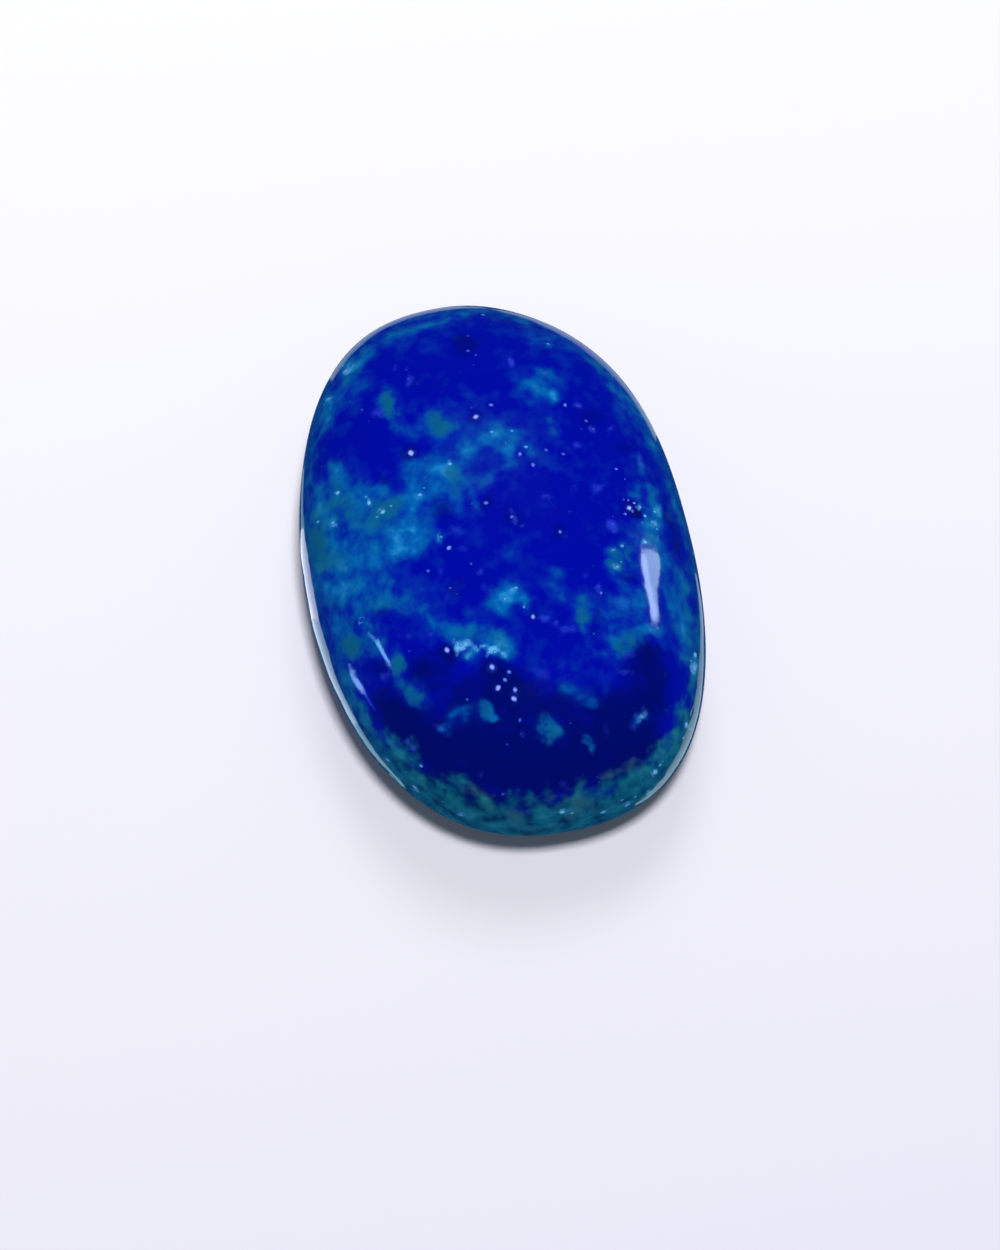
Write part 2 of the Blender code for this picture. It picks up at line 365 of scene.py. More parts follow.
VIOLET_PATCHES = {
    "far end": (
        (375, 414, 24, 9, 5, 0.5), (408, 380, 13, 10, -50, 0.6), (406, 370, 9, 8, 0, 0.5),
        (512, 360, 11, 8, 70, 0.6), (393, 369, 9, 7, 0, 0.3), (577, 406, 14, 8, 0, 0.6),
        (593, 429, 9, 8, 0, 0.5), (614, 429, 11, 8, 0, 0.5), (598, 396, 10, 6, -30, 0.4),
        (574, 444, 11, 8, 0, 0.5), (573, 487, 14, 9, 0, 0.5), (597, 488, 18, 10, -40, 0.6),
        (546, 497, 16, 9, 0, 0.4), (640, 462, 22, 7, 85, 0.5),
    ),
    "middle": (
        (512, 517, 13, 8, 75, 0.7), (522, 523, 10, 7, 0, 0.5), (568, 538, 10, 7, 0, 0.5),
        (612, 525, 15, 11, 40, 0.7), (397, 636, 13, 8, 0, 0.5), (407, 636, 8, 7, 0, 0.4),
        (431, 632, 10, 8, -20, 0.6), (440, 572, 10, 9, 0, 0.4), (444, 596, 8, 7, 0, 0.4),
        (463, 550, 14, 8, 0, 0.5), (480, 571, 9, 8, 0, 0.4), (488, 592, 17, 13, 0, 0.35),
        (535, 603, 11, 9, 0, 0.5), (544, 618, 11, 9, 0, 0.4), (555, 623, 11, 8, 0, 0.5),
        (567, 628, 18, 8, 0, 0.5), (583, 580, 11, 8, 0, 0.4), (597, 588, 9, 12, 0, 0.5),
        (452, 532, 26, 11, 0, 0.4), (622, 602, 26, 18, 0, 0.3),
    ),
    "near end": (
        (383, 677, 13, 11, 60, 0.5), (440, 724, 22, 11, 10, 0.25), (405, 741, 12, 8, 10, 0.4),
        (412, 750, 10, 9, 0, 0.4), (521, 734, 9, 7, 80, 0.4), (460, 763, 26, 11, 0, 0.2),
        (480, 776, 12, 7, 20, 0.25), (503, 794, 10, 8, 0, 0.5), (633, 733, 10, 10, 0, 0.2),
        (625, 672, 18, 9, 0, 0.3), (545, 675, 42, 10, 5, 0.3), (567, 674, 28, 12, 20, 0.3),
        (605, 732, 22, 10, 80, 0.15), (563, 787, 14, 10, 20, 0.35), (632, 656, 15, 10, 0, 0.4),
    ),
}
GREY_PATCHES = {
    "near edge": (
        (473, 789, 26, 11, 0, 0.7), (490, 793, 18, 8, 10, 0.6), (515, 816, 28, 16, 0, 0.8),
        (525, 827, 30, 8, 0, 0.5), (555, 798, 30, 14, -10, 0.8), (577, 801, 22, 15, -40, 0.8),
        (572, 815, 13, 8, 0, 0.9), (612, 773, 36, 12, -25, 0.8), (634, 763, 26, 12, -10, 0.5),
        (618, 801, 14, 9, 80, 0.5), (590, 808, 30, 22, 0, 0.5), (486, 808, 28, 22, 0, 0.4),
        (440, 776, 18, 10, 0, 0.4), (600, 822, 40, 10, -10, 0.5), (548, 430, 30, 16, 70, 0.2),
        (439, 418, 22, 20, 0, 0.15),
    ),
}
WHITE_WISPS_AND_PAINTED_HIGHLIGHTS = {
    "far left rim": (
        (346, 371, 10, 7, -20, 0.80), (352, 364, 14, 8, -30, 0.3), (329, 399, 8, 5, -10, 0.65),
    ),
    "left pool": (
        (338, 493, 7, 5, 0, 0.65), (369, 503, 9, 5, 70, 0.60), (383, 511, 13, 9, -45, 0.45),
        (334, 524, 6, 5, 0, 0.60), (421, 495, 6, 4, 0, 0.50), (426, 480, 5, 4, 0, 0.40),
        (424, 461, 5, 6, 0, 0.30), (418, 472, 5, 4, 0, 0.30), (318, 523, 6, 4, 0, 0.35),
    ),
    # Painted highlight: the web is the overhead light's broken highlight, laid on as pale wisps.
    "web": (
        (462, 645, 13, 8, -10, 0.95), (458, 650, 5, 8, 0, 0.50), (469, 643, 8, 6, 30, 0.80),
        (475, 648, 9, 5, 25, 0.80), (482, 646, 10, 5, 45, 0.65), (494, 652, 14, 6, 0, 0.95),
        (490, 656, 4, 9, 10, 0.60), (505, 656, 7, 6, 0, 0.65), (469, 655, 8, 10, 0, 0.35),
        (456, 640, 12, 5, 40, 0.35), (499, 643, 12, 8, 20, 0.25), (466, 635, 14, 8, 0, 0.12),
    ),
    "right column": (
        (644, 543, 9, 6, -40, 0.90), (641, 508, 7, 4, 80, 0.60), (645, 516, 4, 4, 0, 0.50),
        (642, 523, 5, 5, 0, 0.40), (653, 523, 7, 6, 40, 0.45), (657, 511, 11, 9, 0, 0.35),
        (622, 546, 6, 5, 0, 0.60), (614, 551, 7, 5, 0, 0.35), (617, 567, 9, 6, 10, 0.60),
        (658, 538, 20, 6, 88, 0.30),
    ),
    "crown and middle": (
        (545, 372, 12, 6, 10, 0.30), (538, 388, 14, 8, 20, 0.20), (516, 588, 9, 7, 0, 0.40),
        (504, 599, 8, 5, 0, 0.30), (523, 607, 6, 5, 60, 0.30), (440, 538, 12, 5, 70, 0.40),
        (450, 465, 8, 7, 0, 0.55),
    ),
    # Partly painted highlight: the specks on the right and lower right rim are bits of the rim's
    # highlight; the others are pale wisps in the side band.
    "edges": (
        (694, 666, 11, 7, 85, 0.70), (695, 655, 6, 5, 0, 0.60), (685, 727, 8, 6, 80, 0.50),
        (641, 719, 22, 8, -62, 0.50), (415, 788, 9, 6, 70, 0.60), (461, 815, 9, 4, 0, 0.45),
        (562, 812, 9, 5, 0, 0.60), (603, 812, 7, 5, 0, 0.50), (626, 804, 9, 6, -20, 0.45),
        (654, 774, 9, 6, 40, 0.60), (648, 792, 9, 4, 20, 0.60), (421, 766, 7, 5, 0, 0.30),
    ),
}
PATCH_REACH = 5.2 * MM  # size along the line of sight, so that patches wrap round the sides
RAGGEDNESS = ((0.20 * MM, 1.5 * MM), (0.15 * MM, 0.6 * MM), (0.07 * MM, 0.28 * MM))  # shift, spacing
RAGGED_SEED = 7
PATCH_CORE = 0.1  # of the way from a patch's middle to its edge, where it starts to fade
PATCH_RIM = 1.5
HIDDEN_PATCHES = {
    "azure": (170, 0.6, 2.6),  # how many, smallest and largest in millimetres
    "teal": (60, 0.8, 2.6),
    "navy": (60, 0.8, 3.2),
    "violet": (60, 0.25, 0.7),
    "grey": (30, 0.5, 1.4),
    "white": (50, 0.25, 0.8),
}
HIDDEN_STRENGTHS = (0.25, 0.8)
TURNED_AWAY = -0.1  # the stone faces away from the camera below this, and towards it above minus this
LAYER_SHIFT = Vector((31.7, 0, 0))
FIRST_LAYER = Vector((0, 5.3, 9.1))

noise.seed_set(RAGGED_SEED)  # noise_vector starts from the time of day otherwise
ragged = skin.copy()
for layer, (shift, spacing) in enumerate(RAGGEDNESS):
    field = FIRST_LAYER + LAYER_SHIFT * layer
    ragged += shift * np.array([noise.noise_vector(Vector(point / spacing) + field) for point in skin])


def grow(amount, points, place, size, lean_deg, strength, level, upward):
    """Adds one soft-edged patch to the amount of a mineral at each of these points."""
    offset = points - place
    lean = math.radians(lean_deg)
    right_of = offset @ level
    below = -(offset @ upward)
    along = right_of * math.cos(lean) + below * math.sin(lean)
    over = below * math.cos(lean) - right_of * math.sin(lean)
    deep = offset @ np.cross(level, upward)
    away = 2 * np.sqrt((along / size[0]) ** 2 + (over / size[1]) ** 2 + (deep / size[2]) ** 2)
    share = np.clip((PATCH_RIM - away) / (PATCH_RIM - PATCH_CORE), 0, 1)
    return 1 - (1 - amount) * (1 - strength * share * share * (3 - 2 * share))


across_view = np.array(view_right)
up_view = np.array(view_up)
minerals = {}
for mineral, regions in (
    ("azure", AZURE_PATCHES),
    ("teal", TEAL_PATCHES),
    ("navy", NAVY_PATCHES),
    ("violet", VIOLET_PATCHES),
    ("grey", GREY_PATCHES),
    ("white", WHITE_WISPS_AND_PAINTED_HIGHLIGHTS),
):
    minerals[mineral] = np.zeros(len(skin))
    for patches in regions.values():
        for across, down, length, breadth, lean_deg, strength in patches:
            place = np.array(landing(across, down)[0])
            size = (length / PIXELS_PER_MM * MM, breadth / PIXELS_PER_MM * MM, PATCH_REACH)
            minerals[mineral] = grow(
                minerals[mineral], ragged, place, size, lean_deg, strength, across_view, up_view
            )

# The far side and the belly, which the photograph doesn't show, have patches of the same kinds.
normals = np.empty(len(skin) * 3)
skin_mesh.vertex_normals.foreach_get("vector", normals)
normals = normals.reshape(-1, 3)
facing_camera = normals @ np.array(towards_camera)
hidden = np.flatnonzero(facing_camera < TURNED_AWAY)
for mineral, (count, smallest, largest) in HIDDEN_PATCHES.items():
    for spot in chance.choice(hidden, count):
        level = np.cross(normals[spot], chance.normal(size=3))
        level /= np.linalg.norm(level)
        length, breadth = chance.uniform(smallest, largest, size=2) * MM
        size = (length, breadth, max(length, breadth))
        strength = chance.uniform(*HIDDEN_STRENGTHS)
        upward = np.cross(normals[spot], level)
        minerals[mineral] = grow(
            minerals[mineral], ragged, skin[spot], size, 0, strength, level, upward
        )

# Flecks. Small pyrite crystals and pale calcite grains sit in the lapis and were ground nearly
# flush with it, so each shows as a bright point. Those read from the photograph give
# pixels across and down and the width that shows, and the paler grains also their slant.
PYRITE_FLECKS = {
    "far end": (
        (476, 417, 8), (411, 453, 9), (491, 405, 6), (565, 405, 6), (483, 315, 6),
        (468, 336, 4), (468, 351, 5), (476, 355, 4), (362, 410, 4), (577, 406, 4), (586, 421, 5),
        (593, 429, 4), (581, 429, 3), (408, 379, 4), (406, 370, 3),
    ),
    "middle": (
        (520, 454, 6), (533, 465, 6), (546, 450, 5), (563, 454, 5), (616, 469, 5), (486, 503, 6),
        (512, 517, 5.5), (560, 532, 5.5), (428, 571, 5), (449, 548, 7), (450, 588, 4), (457, 594, 3),
        (471, 564, 4), (480, 571, 3), (533, 617, 7), (601, 593, 5), (622, 545, 4), (472, 504, 3),
        (612, 524, 4), (625, 479, 3), (533, 454, 3),
    ),
    "cluster by the right column": (
        (629, 508, 8), (634, 503, 5), (628, 500, 4), (625, 514, 5), (632, 511, 5), (636, 507, 4),
    ),
    "glitter below the web": (
        (447, 650, 8), (492, 667, 8), (509, 672, 6), (505, 680, 6), (498, 688, 8), (515, 690, 7),
        (514, 699, 8), (520, 720, 5), (521, 734, 3),
    ),
    "near edge": (
        (503, 794, 4), (627, 805, 3), (655, 776, 3),
    ),
}
CALCITE_FLECKS_AND_PAINTED_HIGHLIGHTS = {
    "far left rim": (
        (347, 371, 6, -30), (343, 366, 4, 0), (353, 366, 4, 0), (329, 399, 5, -20), (324, 405, 3, 0),
    ),
    "left pool": (
        (383, 512, 7, -40), (377, 517, 4, 0), (391, 506, 4, 0), (338, 493, 7, 0), (369, 503, 7, 75),
        (333, 523, 6, 0), (318, 522, 5, 0), (420, 495, 6, 0), (424, 488, 3, 0), (366, 497, 4, 0),
    ),
    "crown and middle": (
        (548, 344, 4, 0), (512, 431, 4, 0), (526, 447, 5, 0), (492, 432, 5, 0), (516, 588, 5, 0),
        (505, 599, 5, 0), (524, 607, 4, 60), (441, 537, 4, 0), (450, 464, 6, 0),
    ),
    # Painted highlight: pale grains set where the overhead light's broken highlight shows in the web.
    "web": (
        (461, 645, 5, -20), (475, 649, 4, 20), (495, 652, 5, 0),
    ),
    "right column": (
        (640, 507, 5, 0), (645, 516, 5, 0), (655, 512, 5, 0), (652, 522, 4, 0), (645, 542, 7, 30),
        (617, 567, 5, 0), (621, 562, 3, 0), (622, 546, 5, 0), (613, 550, 4, 0), (657, 529, 4, 0),
    ),
    # Painted highlight: pale specks of light along the right rim, set as grains.
    "right edge": (
        (694, 668, 8, 85), (695, 655, 8, -20), (691, 661, 4, 0), (686, 725, 8, 80), (683, 738, 5, 0),
        (697, 553, 5, 0),
    ),
    "near edge": (
        (415, 787, 7, 70), (410, 794, 5, 0), (461, 815, 6, 0), (562, 812, 8, 0), (603, 812, 7, 0),
        (627, 805, 7, -20), (622, 800, 4, 0), (648, 793, 8, 20), (655, 772, 9, 40), (660, 765, 5, 0),
        (572, 813, 5, 0), (388, 760, 6, 20), (421, 766, 5, 0), (635, 797, 4, 0),
    ),
}
SHOWN_TO_REAL = 0.85  # a fleck's glow in the photograph is wider than the fleck
# Painted glint: a fleck's brightness is set in its colour, from the width its glint shows.
BRIGHTEST_SHOWN = 8
DIMMING = {"pyrite": 1.4, "calcite": 0.8}  # how fast narrower flecks look duller
# The violet and azure rings are a painted glow round a bright fleck, stronger round brighter flecks; the
# navy ring darkens the stone round pyrite.
HALOES = {  # the stone round a fleck: mineral, how much wider than the fleck, and strength
    "pyrite": (("navy", 3.0, 0.60), ("violet", 1.9, 0.35)),
    "calcite": (("azure", 2.1, 0.35),),
}
HIDDEN_FLECKS = 90
SCATTERED_FLECKS = 40
SCATTERED_SIZES = (0.03 * MM, 0.06 * MM)
SCATTERED_PAINTED_GLINT = (0.1, 0.35)
HIDDEN_SIZES = (0.04 * MM, 0.15 * MM)
HIDDEN_PAINTED_GLINT = (0.15, 0.8)
FLECK_PROUD = 0.16  # share of a fleck's radius that stands above the polish
FLAT_SPOT_CLEAR = 0.3 * MM  # no fleck lies lower than this
PYRITE_SHARE = 0.6  # of the flecks that are scattered at random
TURN_PER_PIXEL = 40  # degrees, so that flecks side by side lie differently

flecks = {"pyrite": [], "calcite": []}
for kind, regions in (("pyrite", PYRITE_FLECKS), ("calcite", CALCITE_FLECKS_AND_PAINTED_HIGHLIGHTS)):
    for region in regions.values():
        for across, down, shown, *slant in region:
            place, facing = landing(across, down)
            lean = math.radians(slant[0] if slant else TURN_PER_PIXEL * across)
            along = view_right * math.cos(lean) - view_up * math.sin(lean)
            radius = shown * SHOWN_TO_REAL / 2 / PIXELS_PER_MM * MM
            shine = (shown / BRIGHTEST_SHOWN) ** DIMMING[kind]
            flecks[kind].append((place, facing, along, radius, shine))
            for stain, wider, strength in HALOES[kind]:
                halo = (2 * radius * wider,) * 3
                stained = strength * shine
                minerals[stain] = grow(
                    minerals[stain], skin, np.array(place), halo, 0, stained, across_view, up_view
                )

seen = np.flatnonzero(facing_camera > -TURNED_AWAY)
for spots, count, sizes, painted_glints in (
    (seen, SCATTERED_FLECKS, SCATTERED_SIZES, SCATTERED_PAINTED_GLINT),
    (hidden, HIDDEN_FLECKS, HIDDEN_SIZES, HIDDEN_PAINTED_GLINT),
):
    for spot in chance.choice(spots, count):
        kind = "pyrite" if chance.random() < PYRITE_SHARE else "calcite"
        radius = chance.uniform(*sizes)
        along = np.cross(normals[spot], chance.normal(size=3))
        if skin[spot][2] > FLAT_SPOT_CLEAR:
            shine = chance.uniform(*painted_glints)
            flecks[kind].append((skin[spot], normals[spot], along, radius, shine))

for mineral, amount in minerals.items():
    skin_mesh.attributes.new(mineral, "FLOAT", "POINT").data.foreach_set("value", amount)


# The polish. The stone was buffed with fine paste until it mirrors a window, so its colours look
# wet and deep. The amount of each mineral picks the colour, and noise of several sizes breaks the
# edges up. The navy amount also carries painted shade at the near end. The steep side all round
# shows a paler, mottled band: stone colour with the pale table painted in as a reflection, strongest
# at the near end and turning to painted rim colours towards the far end.
class Recipe:
    """A socket of a node tree. Sums and products of sockets add the nodes that work them out."""

    def __init__(self, tree, socket=None):
        self.tree = tree
        self.socket = socket

    def node(self, kind, settings=None, values=None, output=0):
        """Adds a node of this kind, sets its settings and then its sockets, and gives an output."""
        made = self.tree.nodes.new(kind)
        for name, setting in (settings or {}).items():
            if name == "stops":
                while len(made.color_ramp.elements) < len(setting):
                    made.color_ramp.elements.new(1)
                for element, (position, colour) in zip(made.color_ramp.elements, setting):
                    element.position = position
                    element.color = colour
            else:
                setattr(made, name, setting)
        for name, value in (values or {}).items():
            if isinstance(value, Recipe):
                self.tree.links.new(value.socket, made.inputs[name])
            else:
                made.inputs[name].default_value = value
        return Recipe(self.tree, made.outputs[output])

    def maths(self, operation, first, second):
        return self.node("ShaderNodeMath", {"operation": operation}, {0: first, 1: second})

    def __add__(self, other):
        return self.maths("ADD", self, other)

    def __sub__(self, other):
        return self.maths("SUBTRACT", self, other)

    def __rsub__(self, other):
        return self.maths("SUBTRACT", other, self)

    def __mul__(self, other):
        return self.maths("MULTIPLY", self, other)

    __radd__ = __add__
    __rmul__ = __mul__

    def step(self, low, high):
        """Rises softly from 0 to 1 as this goes from low to high."""
        settings = {"interpolation_type": "SMOOTHSTEP"}
        return self.node("ShaderNodeMapRange", settings, {0: self, 1: low, 2: high})

    def ramp(self, *stops):
        """A colour for each amount, given as positions and colours."""
        return self.node("ShaderNodeValToRGB", {"stops": stops}, {0: self})

    def stained(self, amount, colour):
        """This colour, stained with another by an amount from 0 to 1."""
        return self.node("ShaderNodeMix", {"data_type": "RGBA"}, {0: amount, 6: self, 7: colour}, 2)

    def grain(self, size, detail, roughness=0.55):
        """Noise from 0 to 1 with features of this size, fixed to the piece."""
        values = {"Vector": self, "Scale": 1 / size, "Detail": detail, "Roughness": roughness}
        return self.node("ShaderNodeTexNoise", None, values)

    def feeds(self, socket):
        self.tree.links.new(self.socket, socket)


def new_material(name):
    """A material with an empty recipe and its Principled shader."""
    material = bpy.data.materials.new(name)
    material.use_nodes = True
    return material, Recipe(material.node_tree), material.node_tree.nodes["Principled BSDF"]


ULTRAMARINE = (0.0, 0.0010, 0.340, 1)
COBALT = (0.0008, 0.017, 0.355, 1)
AZURE = (0.0004, 0.060, 0.365, 1)
BRIGHT_AZURE = (0.0012, 0.120, 0.430, 1)
PALE_AZURE = (0.020, 0.260, 0.640, 1)
TEAL = (0.003, 0.100, 0.225, 1)
NAVY = (0.0, 0.0010, 0.132, 1)
VIOLET = (0.024, 0.052, 0.680, 1)
GREY = (0.022, 0.088, 0.150, 1)
WHITE = (0.120, 0.420, 0.820, 1)
# Painted reflection: the colours of the side band, where the steep side mirrors the pale table, and of
# the far rim.
FLANK_DARK = (0.001, 0.030, 0.075, 1)
FLANK_TEAL = (0.003, 0.115, 0.185, 1)
FLANK_PALE = (0.012, 0.200, 0.270, 1)
RIM_DEEP = (0.0004, 0.020, 0.270, 1)
RIM_AZURE = (0.0006, 0.070, 0.290, 1)
RIM_PALE = (0.003, 0.150, 0.400, 1)
FLANK_TOP = 6.35 * MM  # at the near end
FLANK_RISE = 0.030  # rise of the flank's upper edge towards the far end, per length
FLANK_WAVES = (2.4 * MM, 2.6 * MM)  # how far drift and cloud shift that edge
FLANK_FADE = (-0.7 * MM, 0.6 * MM)
FLANK_COVER = 0.9
FLANK_THINNING = (-11 * MM, -1 * MM, 0.45)  # it thins out between these places, by this much
RIM_START = (-12 * MM, -4 * MM, 0.85)  # the painted table reflection turns into painted rim colours between these places
DRIFT_SIZE = 2.8 * MM
CLOUD_SIZE = 0.85 * MM
GRIT_SIZE = 0.30 * MM
SPECKLE_SIZE = 0.16 * MM
WAVE_SIZE = 1.6 * MM
RIPPLE_SIZE = 0.35 * MM
RIPPLE_SHARE = 0.10
WAVE_DEPTH = 0.03 * MM
SMOOTHEST = 0.07
DULLER = 0.05  # added where softer grains took less polish
STAINS = (  # mineral, colour, how mottle and speckle break it up, start and end of its edge, cover
    ("grey", GREY, 2.5, 0.0, (0.1, 0.9), 0.65),
    ("violet", VIOLET, 3.0, 1.3, (0.05, 1.0), 0.8),
    ("white", WHITE, 0.8, 1.5, (0.1, 0.9), 0.9),
)

lapis, recipe, polish = new_material("polished_lapis")
place = recipe.node("ShaderNodeTexCoord", output="Object")
along = recipe.node("ShaderNodeSeparateXYZ", None, {0: place}, "Y")
height = recipe.node("ShaderNodeSeparateXYZ", None, {0: place}, "Z")
amount_of = {
    name: recipe.node("ShaderNodeAttribute", {"attribute_name": name}, None, "Fac") for name in minerals
}
drift = place.grain(DRIFT_SIZE, 2) - 0.5
cloud = place.grain(CLOUD_SIZE, 2, 0.45) - 0.5
grit = place.grain(GRIT_SIZE, 2) - 0.5
speckle = place.grain(SPECKLE_SIZE, 1) - 0.5
mottle = cloud * 1.25 + grit * 0.3
veil = amount_of["azure"] * (1.0 + mottle * 1.0 + drift * 0.7) + mottle * 0.5 + drift * 0.2
haze = veil - amount_of["navy"] * 0.25
blue = haze.ramp(
    (0.02, ULTRAMARINE), (0.26, COBALT), (0.48, AZURE), (0.72, BRIGHT_AZURE), (1.0, PALE_AZURE),
)
deep = (amount_of["navy"] + mottle * 0.5).step(0.15, 0.85) * (1 - haze.step(0.2, 0.7))
greenish = (amount_of["teal"] + mottle * 0.7).step(0.1, 1.0) * haze.step(0.15, 0.6)
blue = blue.stained(deep, NAVY).stained(greenish, TEAL)
# Painted reflection: below this wavy edge the steep side takes a paler band for the pale table it
# mirrors.
flank_edge = FLANK_TOP + (along + HALF_LENGTH) * FLANK_RISE
flank_edge = flank_edge + drift * FLANK_WAVES[0] + cloud * FLANK_WAVES[1]
flank = 1 - (height - flank_edge).step(*FLANK_FADE)
painted_table_reflection = (mottle * 1.6 + amount_of["azure"] * 0.4 + 0.45).ramp(
    (0.1, FLANK_DARK), (0.5, FLANK_TEAL), (0.95, FLANK_PALE),
)
rim = (mottle * 1.8 + drift + 0.5).ramp((0.1, RIM_DEEP), (0.5, RIM_AZURE), (0.95, RIM_PALE))
near, far, share = RIM_START
painted_table_reflection = painted_table_reflection.stained(along.step(near, far) * share, rim)
near, far, share = FLANK_THINNING
blue = blue.stained(flank * (FLANK_COVER - along.step(near, far) * share), painted_table_reflection)
for name, colour, mottled, speckled, edge, cover in STAINS:
    grown = amount_of[name] * (1.0 + mottle * mottled + speckle * speckled)
    blue = blue.stained(grown.step(*edge) * cover, colour)
blue.feeds(polish.inputs["Base Color"])

waviness = place.grain(WAVE_SIZE, 2) + place.grain(RIPPLE_SIZE, 3) * RIPPLE_SHARE
swelling = {"Height": waviness, "Distance": WAVE_DEPTH, "Strength": 0.5}
recipe.node("ShaderNodeBump", None, swelling, "Normal").feeds(polish.inputs["Normal"])
(SMOOTHEST + (cloud + grit).step(0.0, 0.3) * DULLER).feeds(polish.inputs["Roughness"])
polish.inputs["Specular IOR Level"].default_value = 0.4
polish.inputs["IOR"].default_value = 1.5

skin_mesh.materials.append(lapis)
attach(stone, "root")
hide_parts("stone")


# The grains themselves. Pyrite is a pale metal and calcite a milky crystal, and the violet-white
# that both show is a painted glint laid into their colour. Both grew in the stone and were ground
# down with it, so each is a low lumpy grain that is sunk in the skin and stands a hair proud.
GRAIN_SEGMENTS = 8
GRAIN_RINGS = 6
GRAIN_SIZES = {"Length": 1.1, "Breadth": 0.9, "Proud": FLECK_PROUD}  # per half width
LUMP_SCALE = 1.4
LUMP_HEIGHT = 0.8
GRAIN_ROUGHNESS = 0.3
PYRITE_METALLIC = 0.2
# Painted glint: each ramp runs from the dull colour of a small grain to the pale glint of the brightest.
PYRITE_SHADES = (
    (0.10, (0.002, 0.012, 0.40, 1)), (0.45, (0.040, 0.110, 0.80, 1)), (0.95, (0.42, 0.48, 1.0, 1)),
)
CALCITE_SHADES = (
    (0.10, (0.004, 0.130, 0.48, 1)), (0.45, (0.030, 0.24, 0.62, 1)), (0.90, (0.18, 0.50, 0.74, 1)),
)


def fleck_tree(finish):
    """Sets one many-sided grain at each point, turned to the stone's face, at its own size. Gives
    the tree and what it calls the inputs for the grain's sizes."""
    tree = bpy.data.node_groups.new("flecks", "GeometryNodeTree")
    tree.interface.new_socket("Geometry", in_out="INPUT", socket_type="NodeSocketGeometry")
    inputs = {
        name: tree.interface.new_socket(name, in_out="INPUT", socket_type="NodeSocketFloat").identifier
        for name in GRAIN_SIZES
    }
    tree.interface.new_socket("Geometry", in_out="OUTPUT", socket_type="NodeSocketGeometry")
    start = tree.nodes.new("NodeGroupInput")
    end = tree.nodes.new("NodeGroupOutput")

    def node(kind, values=None, output=0, **settings):
        made = tree.nodes.new(kind)
        for name, setting in settings.items():
            setattr(made, name, setting)
        for name, value in (values or {}).items():
            if isinstance(value, bpy.types.NodeSocket):
                tree.links.new(value, made.inputs[name])
            else:
                made.inputs[name].default_value = value
        return made.outputs[output]

    def scaled(vector, factor):
        return node("ShaderNodeVectorMath", {0: vector, "Scale": factor}, operation="SCALE")

    def stored(name, kind):
        return node("GeometryNodeInputNamedAttribute", {"Name": name}, "Attribute", data_type=kind)

    points = node("GeometryNodeMeshToPoints", {"Mesh": start.outputs["Geometry"]})
    sides = {"Radius": 1.0, "Segments": GRAIN_SEGMENTS, "Rings": GRAIN_RINGS}
    ball = node("GeometryNodeMeshUVSphere", sides)
    place = node("GeometryNodeInputPosition")
    top = node("ShaderNodeSeparateXYZ", {"Vector": place}, "Z")
    # The height on the grain, which its colour uses for a painted highlight on the grain's top.
    ball = node("GeometryNodeStoreNamedAttribute", {"Geometry": ball, "Name": "core", "Value": top})
    lumps = node("ShaderNodeTexNoise", {"Vector": place, "Scale": LUMP_SCALE}, "Color")
    centred = node("ShaderNodeVectorMath", {0: lumps, 1: (0.5, 0.5, 0.5)}, operation="SUBTRACT")
    grain = node("GeometryNodeSetPosition", {"Geometry": ball, "Offset": scaled(centred, LUMP_HEIGHT)})
    outward = {"Vector": stored("facing", "FLOAT_VECTOR")}
    upright = node("FunctionNodeAlignRotationToVector", outward, axis="Z")
    lengthwise = {"Rotation": upright, "Vector": stored("along", "FLOAT_VECTOR")}
    turned = node("FunctionNodeAlignRotationToVector", lengthwise, axis="X", pivot_axis="Z")
    sizes = {axis: start.outputs[name] for axis, name in zip("XYZ", GRAIN_SIZES)}
    size = scaled(node("ShaderNodeCombineXYZ", sizes), stored("half_width", "FLOAT"))
    sowing = {"Points": points, "Instance": grain, "Rotation": turned, "Scale": size}
    placed = node("GeometryNodeInstanceOnPoints", sowing)
    real = node("GeometryNodeRealizeInstances", {"Geometry": placed})
    smooth = node("GeometryNodeSetShadeSmooth", {"Geometry": real, "Shade Smooth": True})
    coated = node("GeometryNodeSetMaterial", {"Geometry": smooth, "Material": finish})
    tree.links.new(coated, end.inputs["Geometry"])
    return tree, inputs


def plant(name, grains, finish):
    """Grows these grains on the stone as one plain mesh that rides with it."""
    places, facings, alongs, radii, shine = zip(*grains)
    seeds = bpy.data.meshes.new(name)
    seeds.from_pydata([tuple(point) for point in places], [], [])
    for attribute, vectors in (("facing", facings), ("along", alongs)):
        flat = np.array([tuple(vector) for vector in vectors]).ravel()
        seeds.attributes.new(attribute, "FLOAT_VECTOR", "POINT").data.foreach_set("vector", flat)
    for attribute, amounts in (("half_width", radii), ("shine", shine)):
        seeds.attributes.new(attribute, "FLOAT", "POINT").data.foreach_set("value", amounts)
    sown = bpy.data.objects.new(name, seeds)
    bpy.context.scene.collection.objects.link(sown)
    growth = sown.modifiers.new("flecks", "NODES")
    growth.node_group, inputs = fleck_tree(finish)
    for size_name, identifier in inputs.items():
        growth[identifier] = GRAIN_SIZES[size_name]
    settled = bpy.context.evaluated_depsgraph_get()
    grown = bpy.data.meshes.new_from_object(sown.evaluated_get(settled))
    bpy.data.objects.remove(sown)
    piece = bpy.data.objects.new(name, grown)
    bpy.context.scene.collection.objects.link(piece)
    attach(piece, "root")


